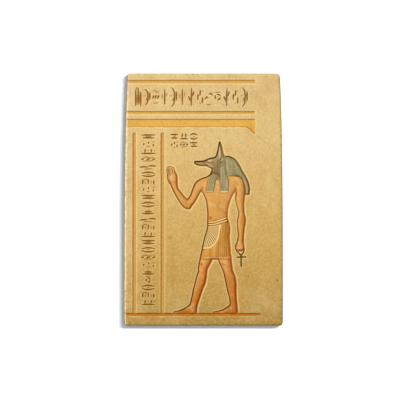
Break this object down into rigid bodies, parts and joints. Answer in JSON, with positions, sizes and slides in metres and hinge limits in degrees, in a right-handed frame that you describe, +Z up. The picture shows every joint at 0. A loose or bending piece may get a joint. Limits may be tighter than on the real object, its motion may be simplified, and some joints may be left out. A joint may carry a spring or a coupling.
{
  "type": "relief wall plaque",
  "caption": "Upright cast-stone wall plaque with a standing jackal-headed figure, ruled bands and rows of small strokes in sunk relief; its flat back lies against a wall.",
  "frame": {"origin": "centre of the flat back face, where the plaque lies against the wall", "axes": "+Z up the plaque, +Y out of its back towards the wall, so the carved face looks along -Y; +X to the right as seen from the front"},
  "size_m": [0.1602, 0.016, 0.254],
  "materials": {
    "cast_stone": "matt, mottled sandy cast stone with an ochre and brown wash in the carving"
  },
  "bodies": {
    "root": {"relief_plaque": "cast_stone"}
  },
  "joints": []
}
